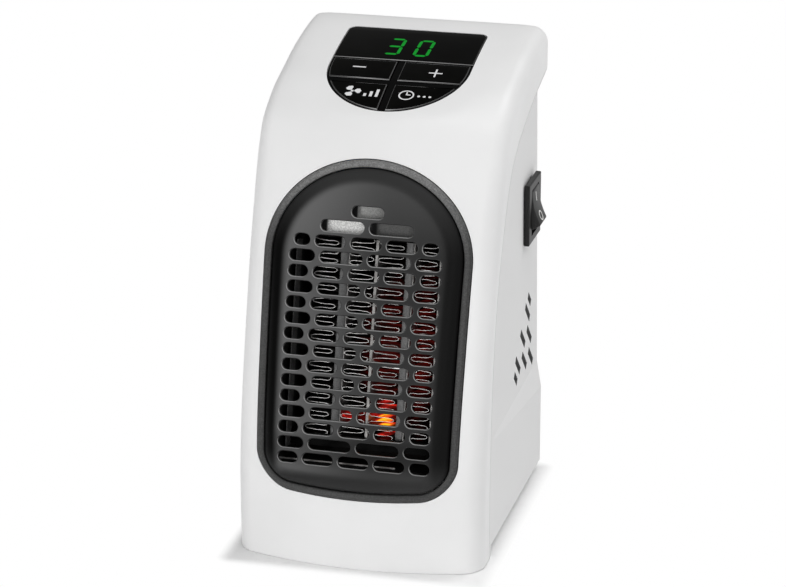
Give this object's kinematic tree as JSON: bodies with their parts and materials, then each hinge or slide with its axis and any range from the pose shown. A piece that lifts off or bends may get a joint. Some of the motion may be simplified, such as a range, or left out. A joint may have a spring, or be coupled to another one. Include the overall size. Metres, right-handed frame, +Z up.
{
  "type": "plug-in fan heater",
  "caption": "Plug-in fan heater with a slotted arched outlet, a key panel with a display on top, a rocker switch on its side and a round plug that turns at the back.",
  "frame": {"origin": "the plug's axis on the flat rear face of the housing, which meets the wall", "axes": "+X to the switch side, +Y into the wall, +Z up"},
  "size_m": [0.0888, 0.1395, 0.1649],
  "materials": {
    "white_shell": "satin gloss",
    "dark_ring": "fine grain",
    "dark_panel": "satin",
    "black_gloss": "gloss",
    "black_key": "satin gloss",
    "black_switch": "satin",
    "board_green": "satin",
    "blue_case": "satin",
    "yellow_case": "satin",
    "black_case": "satin",
    "fin_metal": "bright sheet",
    "grey_ceramic": "matt",
    "mica_sheet": "speckled",
    "fan_plastic": "satin",
    "contact_brass": "bright",
    "winding_copper": "enamelled",
    "plated_pin": "plated",
    "bright_steel": "bright",
    "lead_sheath": "satin"
  },
  "bodies": {
    "casing": {"front_cover": "white_shell", "rear_housing": "white_shell", "grille_ring": "dark_ring", "grille_panel": "dark_panel", "display_bezel": "black_switch", "display_lens": "black_gloss", "display_board": "board_green", "digit_module": "black_case", "tact_switch_minus": "black_case", "tact_switch_plus": "black_case", "tact_switch_speed": "black_case", "tact_switch_timer": "black_case", "switch_case": "black_switch", "switch_terminal_line": "contact_brass", "switch_terminal_load": "contact_brass", "heat_fin_1": "fin_metal", "heat_fin_2": "fin_metal", "heat_fin_3": "fin_metal", "heat_fin_4": "fin_metal", "centre_plate": "fin_metal", "ceramic_bar_left": "grey_ceramic", "ceramic_bar_right": "grey_ceramic", "end_plate_left": "fin_metal", "end_plate_right": "fin_metal", "core_clamp_top": "black_case", "core_clamp_bottom": "black_case", "heater_duct": "mica_sheet", "mica_baffle": "mica_sheet", "thermal_cutout": "black_case", "thermal_fuse": "fin_metal", "fan_frame": "fan_plastic", "fan_stator": "winding_copper", "contact_carrier": "black_case", "contact_brush_inner": "contact_brass", "contact_brush_outer": "contact_brass", "control_board": "board_green", "relay": "blue_case", "film_capacitor": "yellow_case", "smoothing_capacitor": "black_case", "lead_plug_to_switch": "lead_sheath", "lead_plug_to_board": "lead_sheath", "lead_switch_to_board": "lead_sheath", "lead_board_to_cutout": "lead_sheath", "housing_screw_1": "bright_steel", "housing_screw_2": "bright_steel", "housing_screw_3": "bright_steel", "housing_screw_4": "bright_steel"},
    "switch_rocker": {"rocker": "black_switch"},
    "minus_key": {"key_minus": "black_key"},
    "plus_key": {"key_plus": "black_key"},
    "speed_key": {"key_speed": "black_key"},
    "timer_key": {"key_timer": "black_key"},
    "fan": {"fan_rotor": "fan_plastic", "fan_shaft": "bright_steel"},
    "plug": {"plug_body": "white_shell", "plug_pin_left": "plated_pin", "plug_pin_right": "plated_pin", "slip_ring_inner": "contact_brass", "slip_ring_outer": "contact_brass"}
  },
  "joints": [
    {"name": "rocker_tilt", "type": "hinge", "parent": "casing", "child": "switch_rocker", "pos_m": [0.03791, -0.0192, 0.0265], "axis": [0, 1, 0], "range_deg": [0, 28]},
    {"name": "minus_press", "type": "slide", "parent": "casing", "child": "minus_key", "axis": [0, 0.2775, -0.9607], "range_m": [0, 0.0004], "stiffness_N_per_m": 1500},
    {"name": "plus_press", "type": "slide", "parent": "casing", "child": "plus_key", "axis": [0, 0.2775, -0.9607], "range_m": [0, 0.0004], "stiffness_N_per_m": 1500},
    {"name": "speed_press", "type": "slide", "parent": "casing", "child": "speed_key", "axis": [0, 0.2775, -0.9607], "range_m": [0, 0.0004], "stiffness_N_per_m": 1500},
    {"name": "timer_press", "type": "slide", "parent": "casing", "child": "timer_key", "axis": [0, 0.2775, -0.9607], "range_m": [0, 0.0004], "stiffness_N_per_m": 1500},
    {"name": "fan_spin", "type": "hinge", "parent": "casing", "child": "fan", "pos_m": [0, -0.0515, -0.005], "axis": [0, 1, 0], "continuous": true},
    {"name": "plug_turn", "type": "hinge", "parent": "casing", "child": "plug", "pos_m": [0, 0, 0], "axis": [0, 1, 0], "range_deg": [-135, 135]}
  ]
}
